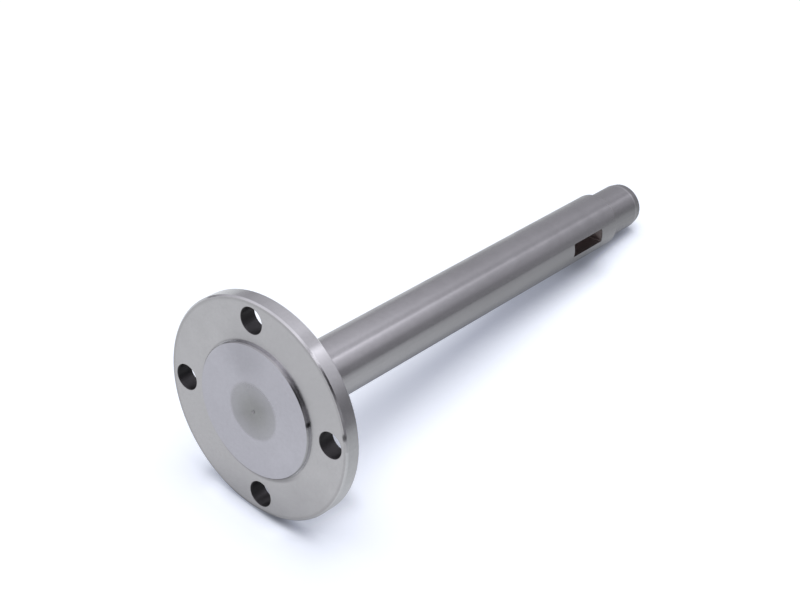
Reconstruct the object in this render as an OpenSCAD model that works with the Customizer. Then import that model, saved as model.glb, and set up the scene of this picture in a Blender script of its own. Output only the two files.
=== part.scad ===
// Clutch shaft turned in one piece: a bolted flange with a raised spigot that
// centres it, a plain journal with a cross slot near its end, and a thinner tip.
// The shaft stands on the spigot's face at z = 0, with its axis along +Z.
// The slot runs right through along X, in line with two of the bolt holes.

/* [Spigot] */
// Diameter of the raised spigot that centres the flange
spigot_d = 44.5; // [30:0.5:48]
// Height of the spigot above the flange's front face
spigot_h = 1.2; // [0.8:0.1:6]
// Edge break round the spigot's face
spigot_edge = 0.3; // [0.1:0.05:0.8]
// Diameter of the shallow dished disc in the middle of the spigot's face
relief_d = 18.5; // [8:0.5:28]
// Depth of the dish at the turning mark
relief_depth = 0.1; // [0.05:0.05:1]
// Diameter of the turning mark at the centre of the dish
mark_d = 1.6; // [0.8:0.1:4]

/* [Flange] */
// Diameter of the flange
flange_d = 73; // [68:0.5:120]
// Thickness of the flange, rim chamfers included
flange_t = 5.7; // [4:0.1:16]
// Size of the front rim chamfer, equal both ways
front_chamfer = 0.5; // [0.2:0.1:1.8]
// Size of the back rim chamfer, equal both ways
back_chamfer = 0.7; // [0.2:0.1:1.8]
// Radius of the fillet where the flange's back meets the journal
root_fillet = 2; // [0.5:0.1:6]

/* [Bolt holes] */
// Number of bolt holes, evenly spaced from +X
hole_count = 4; // [3:1:8]
// Distance from the flange's rim to the centre of each bolt hole
hole_inset = 6.5; // [6:0.1:9]
// Diameter of each bolt hole
hole_d = 8.4; // [4:0.1:9.6]
// Edge break at both mouths of each bolt hole
hole_edge = 0.2; // [0.1:0.05:0.6]

/* [Journal] */
// Diameter of the journal
journal_d = 20; // [18:0.1:36]
// Length of the journal from the flange's back to the shoulder
journal_l = 172.5; // [60:0.5:400]
// Edge break at the shoulder
shoulder_edge = 0.8; // [0.1:0.1:1.4]

/* [Cross slot] */
// Length of the slot along the shaft
slot_l = 17.5; // [6:0.5:40]
// Width of the slot across the shaft
slot_w = 5; // [3:0.1:10]
// Distance from the end of the slot to the shoulder
slot_setback = 10; // [4:0.5:60]
// Radius of the slot's corners
slot_corner = 0.4; // [0.2:0.1:1.4]

/* [Tip] */
// Diameter of the tip
tip_d = 17; // [10:0.1:18.2]
// Length of the tip from the shoulder to its end
tip_l = 18.5; // [10:0.5:80]
// Length of the lead-in chamfer at the tip's end
lead_l = 3; // [0.5:0.1:6]
// Depth of the lead-in chamfer across the radius
lead_depth = 0.5; // [0.3:0.1:2]
// Edge break round the tip's end face
end_edge = 0.3; // [0.1:0.05:0.8]
// Mouth diameter of the turning centre in the tip's end
centre_d = 5; // [3:0.1:6]
// Pilot diameter of the turning centre
pilot_d = 2; // [1:0.1:2.8]
// Length of the pilot beyond the cone
pilot_l = 2.5; // [1:0.1:5]

/* [Hidden] */
$fn = 96;
steel = [0.66, 0.66, 0.68];

// Full angle of the turning centre's cone, and of the drill point and the mark
centre_angle = 60;
point_angle = 118;

// Radii about the axis
spigot_r = spigot_d / 2;
relief_r = relief_d / 2;
mark_r = mark_d / 2;
flange_r = flange_d / 2;
bolt_circle_r = flange_r - hole_inset;
journal_r = journal_d / 2;
tip_r = tip_d / 2;
centre_r = centre_d / 2;
pilot_r = pilot_d / 2;

// Heights of the faces above the spigot's face
flange_front = spigot_h;
flange_back = flange_front + flange_t;
shoulder_z = flange_back + journal_l;
end_z = shoulder_z + tip_l;
slot_end = shoulder_z - slot_setback;
mark_top = relief_depth + mark_r / tan(point_angle / 2);
cone_z = end_z - (centre_r - pilot_r) / tan(centre_angle / 2);
pilot_z = cone_z - pilot_l;
point_z = pilot_z - pilot_r / tan(point_angle / 2);

// Half of the turned outline, from the mark along the outside to the turning centre
module turned_outline() {
    polygon([
        [0, mark_top],
        [mark_r, relief_depth],
        [relief_r, 0],
        [spigot_r - spigot_edge, 0],
        [spigot_r, spigot_edge],
        [spigot_r, flange_front],
        [flange_r - front_chamfer, flange_front],
        [flange_r, flange_front + front_chamfer],
        [flange_r, flange_back - back_chamfer],
        [flange_r - back_chamfer, flange_back],
        [journal_r, flange_back],
        [journal_r, shoulder_z - shoulder_edge],
        [journal_r - shoulder_edge, shoulder_z],
        [tip_r, shoulder_z],
        [tip_r, end_z - lead_l],
        [tip_r - lead_depth, end_z - end_edge],
        [tip_r - lead_depth - end_edge, end_z],
        [centre_r, end_z],
        [pilot_r, cone_z],
        [pilot_r, pilot_z],
        [0, point_z],
    ]);
}

// Corner between the flange's back and the journal, filled to a round
module root_fillet_outline() {
    difference() {
        translate([journal_r, flange_back])
            square(root_fillet);
        translate([journal_r + root_fillet, flange_back + root_fillet])
            circle(root_fillet);
    }
}

// One bolt hole through the flange, with its broken edges
module bolt_hole() {
    hole_r = hole_d / 2;
    mouth_r = hole_r + hole_edge;
    translate([0, 0, flange_front - flange_t])
        cylinder(h = 3 * flange_t, r = hole_r);
    translate([0, 0, flange_front])
        cylinder(h = hole_edge, r1 = mouth_r, r2 = hole_r);
    translate([0, 0, flange_back - hole_edge])
        cylinder(h = hole_edge, r1 = hole_r, r2 = mouth_r);
}

// Ring of bolt holes
module bolt_holes() {
    for (i = [0 : hole_count - 1])
        rotate(i * 360 / hole_count)
            translate([bolt_circle_r, 0, 0])
                bolt_hole();
}

// Slot's end view: a long rectangle with small round corners, its far end at the origin
module slot_outline() {
    square_w = slot_w - 2 * slot_corner;
    square_l = slot_l - 2 * slot_corner;
    translate([-slot_l, -square_w / 2])
        square([slot_l, square_w]);
    translate([slot_corner - slot_l, -slot_w / 2])
        square([square_l, slot_w]);
    for (x = [slot_corner - slot_l, -slot_corner], y = [-1, 1] * square_w / 2)
        translate([x, y])
            circle(slot_corner);
}

// Slot cut through the journal along X, its length along Z
module cross_slot() {
    translate([-journal_d, 0, slot_end])
        rotate([0, -90, 180])
            linear_extrude(2 * journal_d)
                slot_outline();
}

module clutch_shaft() {
    color(steel)
        difference() {
            rotate_extrude() {
                turned_outline();
                root_fillet_outline();
            }
            bolt_holes();
            cross_slot();
        }
}

clutch_shaft();
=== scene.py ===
# %% [markdown]
# # A flanged clutch shaft in bare steel
#
# The object is one solid: a shaft turned from a single bar, with a bolted flange at one end,
# a long ground journal, a cross slot near the far end and a thinner tip.
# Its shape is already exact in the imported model, so this lesson doesn't model it again.
# What is left is what a photographer and a polisher would do: lay it down, light it,
# and give each turned face the finish that its tool left on it.

import bpy
import numpy as np
from mathutils import Matrix, Vector

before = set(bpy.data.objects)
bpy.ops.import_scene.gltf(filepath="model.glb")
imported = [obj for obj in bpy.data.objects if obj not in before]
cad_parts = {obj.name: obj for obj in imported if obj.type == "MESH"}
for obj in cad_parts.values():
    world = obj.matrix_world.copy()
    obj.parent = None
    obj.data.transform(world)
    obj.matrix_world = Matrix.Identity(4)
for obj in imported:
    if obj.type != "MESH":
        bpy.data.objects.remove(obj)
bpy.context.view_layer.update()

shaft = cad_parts["clutch_shaft"]

# %% [markdown]
# ## How the shaft lies
#
# The model stands on its flange, but the shaft was photographed lying down.
# A shaft with one flange can't lie level: it touches the table with the flange's rim and with its tip.
# The model isn't moved for that. The table is tilted against it instead, and the camera with it.
# The tilt is the slope of the straight line that rests on the rim and on the tip, found from the mesh.

# %% Find the table under the shaft
SAME_PLACE = 1e-5
LYING_TURN = np.radians(97.55)  # side of the shaft that faces the table, turned from +X about the axis


def across(angle):
    """A unit vector across the shaft's axis, turned from +X: (cos angle, sin angle, 0)."""
    return np.array([np.cos(angle), np.sin(angle), 0.0])


points = np.empty(3 * len(shaft.data.vertices))
shaft.data.vertices.foreach_get("co", points)
points = points.reshape(-1, 3)
radii = np.hypot(points[:, 0], points[:, 1])
rim_radius = radii.max()
rim_back = points[radii > rim_radius - SAME_PLACE, 2].max()
behind_rim = points[:, 2] > rim_back + SAME_PLACE
fall = rim_radius - radii[behind_rim]
run = points[behind_rim, 2] - rim_back
tilt = np.arctan2(fall, run).min()

to_table = across(LYING_TURN)
shaft_axis = np.array([0.0, 0.0, 1.0])
table_up = -(np.cos(tilt) * to_table + np.sin(tilt) * shaft_axis)
rim_foot = rim_radius * to_table + rim_back * shaft_axis
print(f"tilt {np.degrees(tilt):.2f} degrees, table's normal {table_up.round(4)}")

# %% [markdown]
# ## The camera
#
# The photo looks down on the flange's face, with the shaft running away to the upper right.
# A camera can be tracked to a target with a constraint, but a plain matrix is shorter and is safe to move:
# its columns are the picture's right, its up and the way back to the viewer.
# The table's normal serves as the upward hint, because the photo's horizon is level.

# %% Place the camera
CAMERA_PLACE = Vector((0.28528, -0.23808, -0.26572))
CAMERA_AIM = Vector((0.031089, -0.035391, 0.030761))
CAMERA_LENS = 68.99  # mm
SENSOR_WIDTH = 36.0  # mm

look = (CAMERA_AIM - CAMERA_PLACE).normalized()
picture_right = look.cross(Vector(table_up)).normalized()
picture_up = picture_right.cross(look)
camera_data = bpy.data.cameras.new("camera")
camera_data.lens = CAMERA_LENS
camera_data.sensor_width = SENSOR_WIDTH
camera = bpy.data.objects.new("camera", camera_data)
turn = Matrix((picture_right, picture_up, -look)).transposed()
camera.matrix_world = Matrix.Translation(CAMERA_PLACE) @ turn.to_4x4()
bpy.context.scene.collection.objects.link(camera)
bpy.context.scene.camera = camera
bpy.context.scene.view_settings.view_transform = "Standard"

table_right = np.array(picture_right)
table_ahead = np.cross(table_up, table_right)
print(f"camera {(CAMERA_AIM - CAMERA_PLACE).length:.3f} m from what it aims at")

# %% [markdown]
# ## Small helpers for shader nodes
#
# Node trees are easier to read as formulas than as a list of boxes and wires.
# Each helper below adds a few nodes and returns what they give,
# so that one line of Python is one step of a formula.

# %% Node helpers
def put(tree, socket, value):
    """Links a socket to another node's output, or sets it if the value is a plain number or colour."""
    if isinstance(value, bpy.types.NodeSocket):
        tree.links.new(value, socket)
    else:
        socket.default_value = value


def new_node(tree, kind, **settings):
    """Adds a node of this kind and sets its own properties."""
    node = tree.nodes.new("ShaderNode" + kind)
    for name, value in settings.items():
        setattr(node, name, value)
    return node


def calc(tree, operation, *values):
    """One step of arithmetic on numbers."""
    node = new_node(tree, "Math", operation=operation)
    for socket, value in zip(node.inputs, values):
        put(tree, socket, value)
    return node.outputs[0]


def product(tree, first, *others):
    """All the values multiplied. For masks, it is on only where every one of them is on."""
    result = first
    for other in others:
        result = calc(tree, "MULTIPLY", result, other)
    return result


def darken(tree, value, share):
    """A value with a share of it taken away: value times (1 - share)."""
    return product(tree, value, calc(tree, "SUBTRACT", 1.0, share))


def parts_of(tree, vector):
    """The X, Y and Z of a vector."""
    node = new_node(tree, "SeparateXYZ")
    put(tree, node.inputs[0], vector)
    return list(node.outputs)


def along(tree, vector, direction):
    """How far a vector points along a fixed direction: their dot product."""
    node = new_node(tree, "VectorMath", operation="DOT_PRODUCT")
    put(tree, node.inputs[0], vector)
    put(tree, node.inputs[1], tuple(direction))
    return node.outputs["Value"]


def scaled(tree, colour, level):
    """A colour multiplied by a level."""
    node = new_node(tree, "VectorMath", operation="SCALE")
    put(tree, node.inputs[0], colour)
    put(tree, node.inputs["Scale"], level)
    return node.outputs[0]


def blend(tree, share, first, second):
    """A colour that goes from first to second as share goes from 0 to 1."""
    node = new_node(tree, "Mix", data_type="RGBA")
    put(tree, node.inputs["Factor"], share)
    put(tree, node.inputs[6], first)
    put(tree, node.inputs[7], second)
    return node.outputs[2]


def fade(tree, value, start, end, low=0.0, high=1.0):
    """A smooth step from low at start to high at end, level outside them. Start may be above end."""
    node = new_node(tree, "MapRange", interpolation_type="SMOOTHSTEP")
    for socket, number in zip(node.inputs, (value, start, end, low, high)):
        put(tree, socket, number)
    return node.outputs[0]


def curve(tree, value, stops):
    """A level read from a list of (position, level) pairs, with straight lines between them.

    A ramp's positions and colours go from 0 to 1 only.
    So both are scaled to that, and the level is scaled back.
    """
    node = new_node(tree, "ValToRGB")
    ramp = node.color_ramp
    first, last = stops[0][0], stops[-1][0]
    highest = max(level for position, level in stops)
    while len(ramp.elements) < len(stops):
        ramp.elements.new(0.5)
    for element, (position, level) in zip(ramp.elements, stops):
        element.position = (position - first) / (last - first)
        element.color = (level / highest, level / highest, level / highest, 1.0)
    past_first = calc(tree, "SUBTRACT", value, first)
    put(tree, node.inputs[0], calc(tree, "DIVIDE", past_first, last - first))
    return product(tree, node.outputs[0], highest)


print("node helpers ready")

# %% [markdown]
# ## The room that the steel mirrors
#
# Bare steel has almost no colour of its own: it shows a blurred picture of what stands around it.
# Cards and lamps could be built round the shaft, but a world drawn with nodes has softer edges and no noise.
# It is drawn by direction. The sky above the table is pale overhead and dim near the horizon,
# a white sweep stands behind the shaft, and a pale wall closes the room past the tip.
# Two wide lamps hang along the shaft, with tubes inside them and a dark gap beside them.
# The tubes and the gap end further from that wall than the wide lamps do,
# so their streaks fade towards the tip.
# The viewer is a dark spot, cut off where the near end of the tubes shines past it.
# Only glossy rays see that room. The camera sees plain white, and the table is lit by the lamp further down.

# %% Draw the room
WHITE = (1.0, 1.0, 1.0, 1.0)
BLACK = (0.0, 0.0, 0.0, 1.0)
ROOM_TINT = (1.0, 0.985, 1.06)
# How far a direction points up from the table, and levels
SKY = [(0.0, 0.36), (0.1, 0.55), (0.2, 0.78), (0.28, 0.93), (0.42, 0.96), (0.5, 1.13), (0.58, 1.25),
       (0.65, 1.32), (1.0, 1.32)]
# Degrees turned from +X about the shaft's axis, and levels or shares
WIDE_LAMPS = [(-112.0, 0.0), (-96.0, 0.1), (-88.0, 0.14), (-78.0, 0.02), (-72.0, 0.0), (-60.0, 0.09),
              (-50.0, 0.15), (-40.0, 0.17), (-30.0, 0.1), (-18.0, 0.0)]
TUBE_LAMPS = [(-96.0, 0.0), (-84.0, 0.25), (-76.0, 0.0), (-66.0, 0.0), (-60.0, 1.7), (-53.0, 0.8),
              (-45.0, 0.18), (-38.0, 0.0)]
DARK_GAP = [(-30.0, 0.0), (-13.0, 0.62), (0.0, 0.45), (11.0, 0.0)]
UNDER_TUBES = [(-100.0, 1.0), (-52.0, 1.0), (-46.0, 0.6), (-40.0, 0.2), (-34.0, 0.0)]
# How far a direction points down the shaft, where each of these starts and where it is full
FAR_WALL = (0.60, 0.76)
WIDE_END = (0.78, 0.72)
TUBE_END = (0.695, 0.61)
GAP_END = (0.64, 0.60)
UNDER_TUBES_END = (-0.72, -0.79)
FAR_WALL_LEVELS = (0.33, 0.9)
# How far a direction points ahead of the viewer, where the sweep starts and where it is full
SWEEP = (0.3, 0.8)
SWEEP_LEVEL = 0.72
VIEWER_BEARING = np.radians(-39.0)
VIEWER_BACK = -0.603  # how far the way to the viewer points down the shaft
# How far a direction points to the viewer, where the spot starts and where it is full
VIEWER_SPOT = (0.885, 0.95)
VIEWER_DARKNESS = 0.96

world = bpy.data.worlds.new("studio")
bpy.context.scene.world = world
world.use_nodes = True
tree = world.node_tree
background = tree.nodes["Background"]
direction = new_node(tree, "TexCoord").outputs["Generated"]
towards_x, towards_y, down_shaft = parts_of(tree, direction)
bearing = calc(tree, "DEGREES", calc(tree, "ARCTAN2", towards_y, towards_x))

sky = curve(tree, along(tree, direction, table_up), SKY)
sweep = fade(tree, along(tree, direction, table_ahead), *SWEEP, 0.0, SWEEP_LEVEL)
far_wall = fade(tree, down_shaft, *FAR_WALL, *FAR_WALL_LEVELS)
room = calc(tree, "MAXIMUM", calc(tree, "MAXIMUM", sky, sweep), far_wall)
wide = product(tree, curve(tree, bearing, WIDE_LAMPS), fade(tree, down_shaft, *WIDE_END))
tubes = product(tree, curve(tree, bearing, TUBE_LAMPS), fade(tree, down_shaft, *TUBE_END))
room = calc(tree, "ADD", calc(tree, "ADD", room, wide), tubes)
gap = product(tree, curve(tree, bearing, DARK_GAP), fade(tree, down_shaft, *GAP_END))
room = darken(tree, room, gap)

to_viewer = np.sqrt(1.0 - VIEWER_BACK ** 2) * across(VIEWER_BEARING) + VIEWER_BACK * shaft_axis
viewer = fade(tree, along(tree, direction, to_viewer), *VIEWER_SPOT, 0.0, VIEWER_DARKNESS)
under_tubes = product(tree, curve(tree, bearing, UNDER_TUBES), fade(tree, down_shaft, *UNDER_TUBES_END))
room = darken(tree, room, darken(tree, viewer, under_tubes))

path = new_node(tree, "LightPath")
seen_plain = calc(tree, "MAXIMUM", path.outputs["Is Camera Ray"], path.outputs["Is Transmission Ray"])
lit = blend(tree, path.outputs["Is Glossy Ray"], BLACK, scaled(tree, ROOM_TINT, room))
put(tree, background.inputs["Color"], blend(tree, seen_plain, lit, WHITE))
print("room drawn with", len(tree.nodes), "nodes")

# %% [markdown]
# ## The table
#
# The table is a sheet of matt white that fills the picture, so the photo's background is simply its colour.
# A sweep with a bend at the back could be built, but the camera looks down and would never see the bend.

# %% Lay the table
TABLE_HALF = 2.0


def sheet_on(origin, right, ahead, half):
    """A square sheet: the point at (u, v) is the origin plus u times right plus v times ahead."""
    u, v = np.meshgrid([-half, half], [-half, half])
    corners = origin + u.reshape(-1, 1) * right + v.reshape(-1, 1) * ahead
    mesh = bpy.data.meshes.new("table")
    mesh.from_pydata(corners.tolist(), [], [(0, 1, 3, 2)])
    mesh.validate()
    return bpy.data.objects.new("table", mesh)


table = sheet_on(rim_foot, table_right, table_ahead, TABLE_HALF)
bpy.context.scene.collection.objects.link(table)
print("table's face looks along", tuple(table.data.polygons[0].normal))

# %% [markdown]
# ## The shade under the shaft
#
# The sheet is darker where the shaft is close to it, as little light gets into a narrow nook.
# An occlusion node could measure that, but it is slow, and the distance from a turned shaft
# is a short formula of radius and height. The steel looks into the nook from nearer by,
# so the shade reaches further for what it mirrors.
# More soft places are worked into that shade. There is a pinch where the tip touches the table,
# a shade under the shaft that only the steel mirrors, and a lighter place at the rim's foot,
# where the flange throws light back. Two dark spots sit at that foot and on the table behind the flange.

# %% Shade the table
# The nook's darkest level, how far its shade reaches, and the journal and flange it is measured from
NOOK_LEVEL = 0.55
NOOK_REACH = 0.0135
MIRRORED_REACH = 0.024
JOURNAL_RADIUS = 0.010
JOURNAL_END = 0.165
FLANGE_MIDDLE = 0.012
FLANGE_HALF = 0.009
FLANGE_STEEPNESS = 1.6
# Sides are measured from the line under the axis, starts and ends along the axis.
# Each pair is where a shade is off, and where it is full.
PINCH_SIDE = (0.0095, 0.0035)
PINCH_START = (0.150, 0.182)
PINCH_END = (0.204, 0.192)
PINCH_DEPTH = 0.6
UNDER_MIDDLE = -0.008
UNDER_SIDE = (0.038, 0.0)
UNDER_START = (0.020, 0.045)
UNDER_END = (0.135, 0.085)
UNDER_DEPTH = 0.27
BOUNCE_HEIGHT = 0.003
BOUNCE_HALF = 0.012
BOUNCE_SIDE = (0.009, 0.0)
BOUNCE_GAIN = 0.36
# Middle and half size, sideways and along the axis, and depth
DARK_SPOTS = [((0.008, 0.0035), (0.014, 0.0035), 0.62), ((-0.002, 0.029), (0.011, 0.021), 0.5)]


def off(tree, value, middle):
    """How far a value is off a middle one, either way."""
    return calc(tree, "ABSOLUTE", calc(tree, "SUBTRACT", value, middle))


def beyond(tree, value, limit):
    """How far a value lies beyond a limit, and 0 before it."""
    return calc(tree, "MAXIMUM", calc(tree, "SUBTRACT", value, limit), 0.0)


def distance(tree, *steps):
    """The square root of the sum of the squared steps."""
    total = 0.0
    for step in steps:
        total = calc(tree, "ADD", total, product(tree, step, step))
    return calc(tree, "SQRT", total)


def from_middle(tree, values, middle, half):
    """Distance from the middle of an ellipse or ellipsoid with these half sizes. It is 1 at the border."""
    steps = []
    for value, centre, size in zip(values, middle, half):
        steps.append(calc(tree, "DIVIDE", calc(tree, "SUBTRACT", value, centre), size))
    return distance(tree, *steps)


table_material = bpy.data.materials.new("white_table")
table_material.use_nodes = True
tree = table_material.node_tree
tree.nodes.clear()
on_table = new_node(tree, "TexCoord").outputs["Object"]
mirrored = new_node(tree, "LightPath").outputs["Is Glossy Ray"]
table_x, table_y, table_z = parts_of(tree, on_table)
from_axis = distance(tree, table_x, table_y)
flat_axis = shaft_axis - (shaft_axis @ table_up) * table_up
viewer_side = np.cross(flat_axis, table_up)
viewer_side *= np.sign(viewer_side @ np.array(-look)) / np.linalg.norm(viewer_side)
aside = along(tree, on_table, viewer_side)
off_line = off(tree, aside, 0.0)

off_journal = distance(tree, beyond(tree, from_axis, JOURNAL_RADIUS), beyond(tree, table_z, JOURNAL_END))
off_ends = beyond(tree, off(tree, table_z, FLANGE_MIDDLE), FLANGE_HALF)
off_flange = distance(tree, beyond(tree, from_axis, rim_radius), off_ends)
nook = calc(tree, "MINIMUM", off_journal, product(tree, off_flange, FLANGE_STEEPNESS))
nook_reach = fade(tree, mirrored, 0.0, 1.0, NOOK_REACH, MIRRORED_REACH)
shade = fade(tree, nook, 0.0, nook_reach, NOOK_LEVEL, 1.0)

pinch = fade(tree, off_line, *PINCH_SIDE, 0.0, PINCH_DEPTH)
pinch = product(tree, pinch, fade(tree, table_z, *PINCH_START), fade(tree, table_z, *PINCH_END))
shade = darken(tree, shade, pinch)
under = fade(tree, off(tree, aside, UNDER_MIDDLE), *UNDER_SIDE, 0.0, UNDER_DEPTH)
under = product(tree, under, fade(tree, table_z, *UNDER_START), fade(tree, table_z, *UNDER_END), mirrored)
shade = darken(tree, shade, under)
off_foot = distance(tree, beyond(tree, off_line, BOUNCE_HALF), off(tree, table_z, BOUNCE_HEIGHT))
bounce = fade(tree, off_foot, *BOUNCE_SIDE, 0.0, BOUNCE_GAIN)
shade = product(tree, shade, calc(tree, "ADD", 1.0, bounce))
for spot_middle, spot_half, depth in DARK_SPOTS:
    off_spot = from_middle(tree, (aside, table_z), spot_middle, spot_half)
    shade = darken(tree, shade, fade(tree, off_spot, 1.0, 0.0, 0.0, depth))
print("shade of the table drawn with", len(tree.nodes), "nodes")

# %% [markdown]
# ## The table's paint
#
# Light that comes back from the walls of a room gets into its shadows too, and it is bluer than the lamp.
# A bounced light could be left to the renderer, but the drawn room has no walls that the table could see.
# So a faint bluish glow of the sheet stands for that light, over a paint that is bluish to the camera
# and neutral to the steel that mirrors it.
# On the viewer's side the sheet fades out within a few hand's breadths of the shaft,
# and the steel mirrors the dim room past it.
# The room looks white to the camera, so the sheet's end doesn't show.
# The sheet is shown from above only, so that views from under it still see the shaft.

# %% Paint the table
TABLE_PAINT = (0.82, 0.845, 0.94, 1.0)
MIRRORED_PAINT = (0.82, 0.82, 0.82, 1.0)
TABLE_GLOW = (0.36, 0.382, 0.455, 1.0)
SHEET_FADE = (0.06, 0.26)  # metres from the line under the axis

paint = new_node(tree, "BsdfDiffuse")
paint_seen = blend(tree, mirrored, TABLE_PAINT, MIRRORED_PAINT)
put(tree, paint.inputs["Color"], scaled(tree, paint_seen, shade))
glow = new_node(tree, "Emission")
put(tree, glow.inputs["Color"], TABLE_GLOW)
put(tree, glow.inputs["Strength"], shade)
painted = new_node(tree, "AddShader")
put(tree, painted.inputs[0], paint.outputs[0])
put(tree, painted.inputs[1], glow.outputs[0])

past_border = fade(tree, aside, *SHEET_FADE)
hidden = calc(tree, "MAXIMUM", past_border, new_node(tree, "NewGeometry").outputs["Backfacing"])
from_above = new_node(tree, "MixShader")
put(tree, from_above.inputs[0], hidden)
put(tree, from_above.inputs[1], painted.outputs[0])
put(tree, from_above.inputs[2], new_node(tree, "BsdfTransparent").outputs[0])
put(tree, new_node(tree, "OutputMaterial").inputs["Surface"], from_above.outputs[0])
table.data.materials.append(table_material)
print("table painted with", len(tree.nodes), "nodes")

# %% [markdown]
# ## The lamp
#
# The photo's shadow hugs the shaft on both sides and has no sharp edge,
# as under a large soft box hung overhead.
# An area lamp could be hung there, but it would light the near table more than the far one.
# A sun with a very wide angle gives the same soft shadow and an even table.
# It lights the table only: the steel sees the drawn room, where this lamp is part of the pale sky.

# %% Hang the lamp
LAMP_HEIGHT = np.radians(87.0)  # above the table, leaning away from the viewer
LAMP_WIDTH = np.radians(60.0)
LAMP_POWER = 2.62
LAMP_COLOUR = (1.0, 1.0, 0.95)

to_lamp = np.cos(LAMP_HEIGHT) * table_ahead + np.sin(LAMP_HEIGHT) * table_up
lamp_data = bpy.data.lights.new("soft_box", "SUN")
lamp_data.energy = LAMP_POWER
lamp_data.angle = LAMP_WIDTH
lamp_data.color = LAMP_COLOUR
lamp = bpy.data.objects.new("soft_box", lamp_data)
lamp.rotation_mode = "QUATERNION"
lamp.rotation_quaternion = Vector(to_lamp).to_track_quat("Z", "Y")
lamp.visible_glossy = False
bpy.context.scene.collection.objects.link(lamp)
print("soft box stands towards", to_lamp.round(3))

# %% [markdown]
# ## A map of the shaft
#
# Each face of the shaft was cut by another tool, so each has its own finish.
# The finishes could be painted on an unwrapped picture, but a turned part has a simpler map:
# the distance from the axis and the height along it tell every face from the others.
# Both are read from the object's own coordinates in millimetres, so a finish stays with its face.

# %% Map the shaft by radius and height
MILLIMETRES = 1000.0

steel = bpy.data.materials.new("ground_steel")
steel.use_nodes = True
tree = steel.node_tree
surface = tree.nodes["Principled BSDF"]
place = new_node(tree, "TexCoord").outputs["Object"]
x, y, z = [product(tree, part, MILLIMETRES) for part in parts_of(tree, place)]
radius = distance(tree, x, y)
print("radius and height mapped in millimetres")

# %% [markdown]
# ## Masks for the faces
#
# The drilled holes and the milled slot are rough and oily inside and catch little light, and the holes are
# also painted dark for the shade inside them.
# The four holes are alike, so a point is first folded into one eighth of the circle
# and is then measured from one hole.
# The spigot has a dull dish in its face, a bright ground wall that centres the flange, called its register,
# a narrow lip between the two, and a dark corner at its foot.
# The rim was turned, the journal and the tip were ground, and the tip ends in a slim lead.
# Faces could be picked from the mesh by number, but another pack would number them anew.
# So each mask is a formula of the map.

# %% Mask the faces
BOLT_CIRCLE_RADIUS = 30.0
# Each pair is where a mask is off, and where it is full. These are radii.
HOLE_SKIN = (4.5, 4.25)  # from the hole's own axis
SLOT_SKIN = (9.9, 9.6)
DISH_EDGE = (10.2, 8.7)
LIP_INSIDE = (21.85, 21.97)
REGISTER_SKIN = (22.0, 22.2)
SPIGOT_EDGE = (22.4, 22.3)
CORNER_INSIDE = (22.2, 22.3)
CORNER_OUTSIDE = (23.1, 22.4)
RIM_SKIN = (36.0, 36.3)
# These are heights
FRONT = (3.0, 2.0)
REGISTER_START = (0.25, 0.35)
LIP_END = (0.36, 0.28)
CORNER_START = (0.8, 1.1)
HOLE_END = (7.9, 6.9)
RIM_END = (7.4, 6.9)
JOURNAL_START = (6.9, 7.9)
SLOT_START = (150.9, 151.9)
SLOT_END = (170.4, 169.4)
SLOT_END_WALL = (168.2, 169.0)
TIP_START = (178.4, 179.4)
LEAD_START = (194.6, 195.2)
# Radii where the dish is fully dull and where it is down to the share at its border
WORN_REACH = (1.5, 9.5)
WORN_BORDER = 0.5

side_x = calc(tree, "ABSOLUTE", x)
side_y = calc(tree, "ABSOLUTE", y)
outward = calc(tree, "SUBTRACT", calc(tree, "MAXIMUM", side_x, side_y), BOLT_CIRCLE_RADIUS)
from_hole = distance(tree, outward, calc(tree, "MINIMUM", side_x, side_y))
in_hole = product(tree, fade(tree, from_hole, *HOLE_SKIN), fade(tree, z, *HOLE_END))
in_slot = product(tree, fade(tree, radius, *SLOT_SKIN), fade(tree, z, *SLOT_START), fade(tree, z, *SLOT_END))
slot_end_wall = product(tree, in_slot, fade(tree, z, *SLOT_END_WALL))
bore = calc(tree, "MAXIMUM", in_hole, in_slot)

in_front = fade(tree, z, *FRONT)
within_spigot = fade(tree, radius, *SPIGOT_EDGE)
spigot = product(tree, within_spigot, in_front)
dish = product(tree, fade(tree, radius, *DISH_EDGE), in_front)
worn_middle = product(tree, dish, fade(tree, radius, *WORN_REACH, 1.0, WORN_BORDER))
register = product(tree, spigot, fade(tree, radius, *REGISTER_SKIN), fade(tree, z, *REGISTER_START))
lip = product(tree, within_spigot, fade(tree, radius, *LIP_INSIDE), fade(tree, z, *LIP_END))
corner = product(tree, fade(tree, radius, *CORNER_INSIDE), fade(tree, radius, *CORNER_OUTSIDE))
corner = product(tree, corner, fade(tree, z, *CORNER_START), in_front)
rim = product(tree, fade(tree, radius, *RIM_SKIN), fade(tree, z, *RIM_END))
journal = fade(tree, z, *JOURNAL_START)
tip = fade(tree, z, *TIP_START)
lead = fade(tree, z, *LEAD_START)
print("masks for the holes, the slot, the spigot's faces, the rim, the journal and the tip")

# %% [markdown]
# ## Tool marks
#
# A lathe leaves fine rings, which are the same all the way round:
# a noise of radius and height alone draws them.
# Handling leaves faint cloudy patches and a finer grain. They come from two noises in space,
# and change the colour and the shine a little.

# %% Draw the rings and clouds
RING_PITCH = 2.2  # rings to a millimetre
RING_DETAIL = 3.0
CLOUD_SCALE = 0.16 * MILLIMETRES
CLOUD_DETAIL = 4.0
GRAIN_SCALE = 0.9 * MILLIMETRES
GRAIN_DETAIL = 2.0


def noise(tree, vector, scale, detail):
    """A cloudy grey between 0 and 1."""
    node = new_node(tree, "TexNoise")
    put(tree, node.inputs["Vector"], vector)
    put(tree, node.inputs["Scale"], scale)
    put(tree, node.inputs["Detail"], detail)
    return node.outputs[0]


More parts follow.
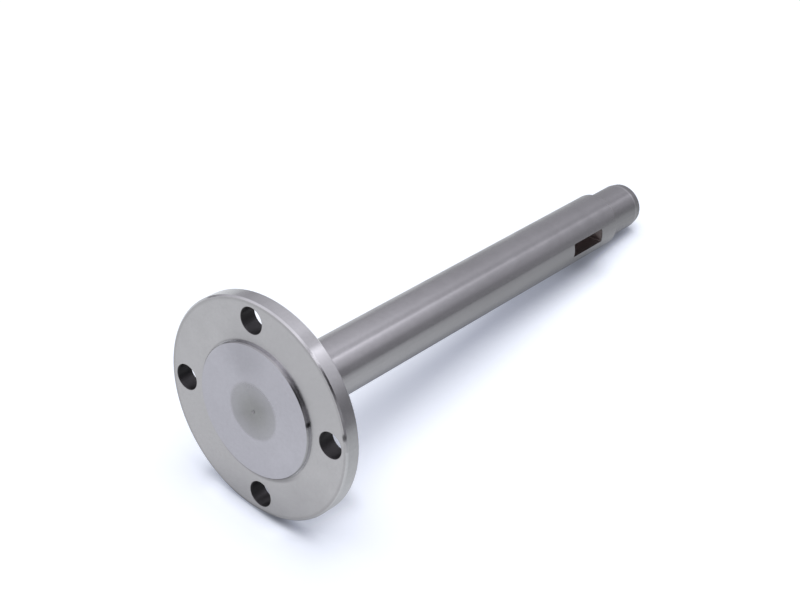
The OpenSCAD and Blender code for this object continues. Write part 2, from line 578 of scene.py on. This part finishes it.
turned = new_node(tree, "CombineXYZ")
put(tree, turned.inputs["X"], radius)
put(tree, turned.inputs["Y"], z)
rings = noise(tree, turned.outputs[0], RING_PITCH, RING_DETAIL)
clouds = noise(tree, place, CLOUD_SCALE, CLOUD_DETAIL)
grain = noise(tree, place, GRAIN_SCALE, GRAIN_DETAIL)
print("rings, clouds and grain drawn")

# %% [markdown]
# ## Wear, dirt and painted shade
#
# Edges are worn bright first, and that bright colour also paints a highlight along them.
# An edge of a turned part is a circle, so its wear is a fade with the distance from it.
# There are also two small nicks, a faint oily patch on the front, a painted shade on the front face near the
# table, a painted shade along the spigot's foot, a painted dark reflection on its lip,
# a dark line round the flange's front edge and a painted shade where the rim stands on the table.
# These could be painted by hand, but each lies at a known place, so each is a short formula too.

# %% Draw the worn and dirty places and the painted shade
# Radius, height and strength of edges that are worn bright and painted with a highlight
RUBBED_AND_HIGHLIT_EDGES = [(36.3, 1.4, 0.35), (36.1, 6.6, 0.3), (9.6, 179.0, 0.12), (8.5, 194.4, 0.14),
                (7.7, 197.9, 0.1)]
# Middle and half size of a small nick in the front rim and of one in the spigot's wall
RIM_NICK = ((35.45, -4.7, 1.35), (0.9, 1.8, 1.2))
SPIGOT_NICK = ((21.94, -3.71, 0.6), (0.9, 1.2, 1.2))
# Middle, reach and strength of a faint oily patch on the front face and of a painted shade on its side
# towards the table
SMUDGES_AND_SHADE = [((-3.0, -18.0), 12.0, 0.14), ((20.0, 27.0), 17.0, 0.1)]
PATCH_CORE = 2.0
# Sides of the spigot with a painted shade along its foot, and with a painted dark reflection on its lip
SHADED_SIDE = across(np.radians(92.0))
DARK_REFLECTION_SIDE = across(np.radians(-35.0))
SPIGOT_FOOT_SHADE_RADIUS = 22.9
# Each pair is where a mark is off, and where it is full
RUBBED_AND_HIGHLIT_FADE = (0.6, 0.2)
NICK_FADE = (1.0, 0.3)
SPIGOT_FOOT_SHADE_FADE = (1.3, 0.15)
SHADED_SIDE_REACH = (13.0, 21.5)
DARK_REFLECTION_REACH = (21.0, 22.1)
RIM_FOOT_SHADE_REACH = (33.0, 35.6)
RIM_FOOT_SHADE_INSIDE = (35.3, 36.0)
RIM_FOOT_SHADE_END = (3.5, 2.0)
EDGE_LINE_INSIDE = (34.7, 35.6)
EDGE_LINE_OUTSIDE = (36.2, 35.8)

# Each edge is worn and also painted with a highlight: the colour turns bright near it
rubbed_and_highlit = 0.0
for edge_radius, edge_height, strength in RUBBED_AND_HIGHLIT_EDGES:
    off_edge = distance(tree, off(tree, radius, edge_radius), off(tree, z, edge_height))
    rubbed_and_highlit = calc(tree, "MAXIMUM", rubbed_and_highlit, fade(tree, off_edge, *RUBBED_AND_HIGHLIT_FADE, 0.0, strength))
rim_nick = fade(tree, from_middle(tree, (x, y, z), *RIM_NICK), *NICK_FADE)
spigot_nick = fade(tree, from_middle(tree, (x, y, z), *SPIGOT_NICK), *NICK_FADE)
# A faint oily patch and a painted shade darken the front face
smudges_and_shade = 0.0
for (middle_x, middle_y), patch_reach, strength in SMUDGES_AND_SHADE:
    off_patch = distance(tree, off(tree, x, middle_x), off(tree, y, middle_y))
    dark_patch = fade(tree, off_patch, patch_reach, PATCH_CORE, 0.0, strength)
    smudges_and_shade = calc(tree, "ADD", smudges_and_shade, product(tree, dark_patch, in_front))

# Painted shade along the spigot's foot and lip, on the side towards the table
spigot_foot_shade_line = fade(tree, off(tree, radius, SPIGOT_FOOT_SHADE_RADIUS), *SPIGOT_FOOT_SHADE_FADE)
shaded_side_part = fade(tree, along(tree, place, SHADED_SIDE * MILLIMETRES), *SHADED_SIDE_REACH)
spigot_foot_shade = product(tree, calc(tree, "MAXIMUM", spigot_foot_shade_line, lip), shaded_side_part, in_front)
# Painted dark reflection on one side of the spigot's lip
lip_dark_reflection = product(tree, lip, fade(tree, along(tree, place, DARK_REFLECTION_SIDE * MILLIMETRES), *DARK_REFLECTION_REACH))
# Painted shade on the rim's chamfer where it stands on the table
rim_foot_shade = fade(tree, along(tree, place, to_table * MILLIMETRES), *RIM_FOOT_SHADE_REACH)
rim_foot_shade = product(tree, rim_foot_shade, fade(tree, radius, *RIM_FOOT_SHADE_INSIDE), fade(tree, z, *RIM_FOOT_SHADE_END))
edge_line = product(tree, fade(tree, radius, *EDGE_LINE_INSIDE), fade(tree, radius, *EDGE_LINE_OUTSIDE))
edge_line = product(tree, edge_line, in_front)
print(len(RUBBED_AND_HIGHLIT_EDGES), "rubbed edges, two nicks,", len(SMUDGES_AND_SHADE), "smudges, oil, a stain and grime")

# %% [markdown]
# ## The steel's colour
#
# Faced, turned and ground steel mirror the room at different levels,
# and the ground length is darker towards the tip.
# One colour with a picture of dirt over it could do, but the photo's faces differ too clearly for that.
# So the colour starts from faced steel, and each mask lays its own steel, oily dirt, rust or painted shade
# over what is there.

# %% Mix the colour
FACED = (0.41, 0.403, 0.408, 1.0)
SPIGOT_FACE = (0.406, 0.400, 0.434, 1.0)
TURNED_RIM = (0.33, 0.33, 0.335, 1.0)
REGISTER = (0.60, 0.60, 0.62, 1.0)
DULL = (0.262, 0.262, 0.262, 1.0)
# Bright steel of the worn edges, which also paints a highlight on them
BRIGHT = (0.62, 0.62, 0.63, 1.0)
# The lip's darker colour is a painted shade that keeps its edge from shining
LIP = (0.29, 0.29, 0.295, 1.0)
# A dark colour for oily patches and nicks, also used to paint shade and dark reflections
OIL_AND_SHADE = (0.03, 0.028, 0.03, 1.0)
# Drilled walls are oily and also painted dark for the shade inside the holes
DRILLED = (0.06, 0.058, 0.061, 1.0)
MILLED = (0.46, 0.41, 0.405, 1.0)
RUSTY = (0.31, 0.268, 0.26, 1.0)
GROUND_TINT = (1.0, 0.99, 1.015)
# Height and level of the ground steel
GROUND = [(0.0, 0.300), (15.0, 0.300), (40.0, 0.289), (70.0, 0.256), (100.0, 0.224), (130.0, 0.218),
          (165.0, 0.201), (200.0, 0.206)]
NOISE_RANGE = (0.3, 0.7)
CLOUD_LEVELS = (0.97, 1.03)
GRAIN_LEVELS = (-0.02, 0.02)

ground = scaled(tree, GROUND_TINT, curve(tree, z, GROUND))
# Mask, strength and colour, in the order in which they are laid on
layers = [
    (spigot, 1.0, SPIGOT_FACE),
    (journal, 1.0, ground),
    (rim, 1.0, TURNED_RIM),
    (register, 1.0, REGISTER),
    (worn_middle, 1.0, DULL),
    (lip, 1.0, LIP),
    (lead, 0.3, OIL_AND_SHADE),
    (rubbed_and_highlit, 1.0, BRIGHT),
    (corner, 0.3, OIL_AND_SHADE),
    (rim_nick, 0.8, OIL_AND_SHADE),
    (spigot_nick, 0.85, OIL_AND_SHADE),
    (smudges_and_shade, 1.0, OIL_AND_SHADE),
    (spigot_foot_shade, 0.42, OIL_AND_SHADE),
    (lip_dark_reflection, 0.75, OIL_AND_SHADE),
    (edge_line, 0.16, OIL_AND_SHADE),
    (rim_foot_shade, 0.6, OIL_AND_SHADE),
    (in_hole, 1.0, DRILLED),
    (in_slot, 1.0, MILLED),
    (slot_end_wall, 1.0, RUSTY),
]
colour = FACED
for mask, strength, layer_colour in layers:
    colour = blend(tree, product(tree, mask, strength), colour, layer_colour)
cloudy = fade(tree, clouds, *NOISE_RANGE, *CLOUD_LEVELS)
grainy = fade(tree, grain, *NOISE_RANGE, *GRAIN_LEVELS)
put(tree, surface.inputs["Base Color"], scaled(tree, colour, calc(tree, "ADD", cloudy, grainy)))
print(len(layers), "layers of colour on faced steel")

# %% [markdown]
# ## The steel's shine
#
# Turned steel blurs a reflection along the shaft but hardly round it,
# which is why it shows sharp long lines.
# Grooves as fine as that can't be modelled, so a Principled shader stands for them,
# with anisotropy and a tangent that runs round the axis. The rings are a little bump on top.

# %% Give it its shine
ROUGHNESS = (0.21, 0.27)
ANISOTROPY = 0.9
QUARTER_TURN = 0.25
RING_DEPTH = 0.004 / MILLIMETRES

rough = fade(tree, clouds, *NOISE_RANGE, *ROUGHNESS)
# Mask, and how much rougher the steel is there
rougher = [(rim, -0.09), (register, -0.1), (dish, 0.06), (tip, 0.08), (bore, 0.3)]
for mask, change in rougher:
    rough = calc(tree, "ADD", rough, product(tree, mask, change))
put(tree, surface.inputs["Roughness"], rough)
surface.inputs["Metallic"].default_value = 1.0
surface.inputs["Anisotropic"].default_value = ANISOTROPY
surface.inputs["Anisotropic Rotation"].default_value = QUARTER_TURN
tangent = new_node(tree, "Tangent", direction_type="RADIAL", axis="Z")
put(tree, surface.inputs["Tangent"], tangent.outputs[0])

bump = new_node(tree, "Bump")
bump.inputs["Distance"].default_value = RING_DEPTH
put(tree, bump.inputs["Height"], rings)
put(tree, surface.inputs["Normal"], bump.outputs[0])
shaft.data.materials.clear()
shaft.data.materials.append(steel)
print("steel has", len(tree.nodes), "nodes")
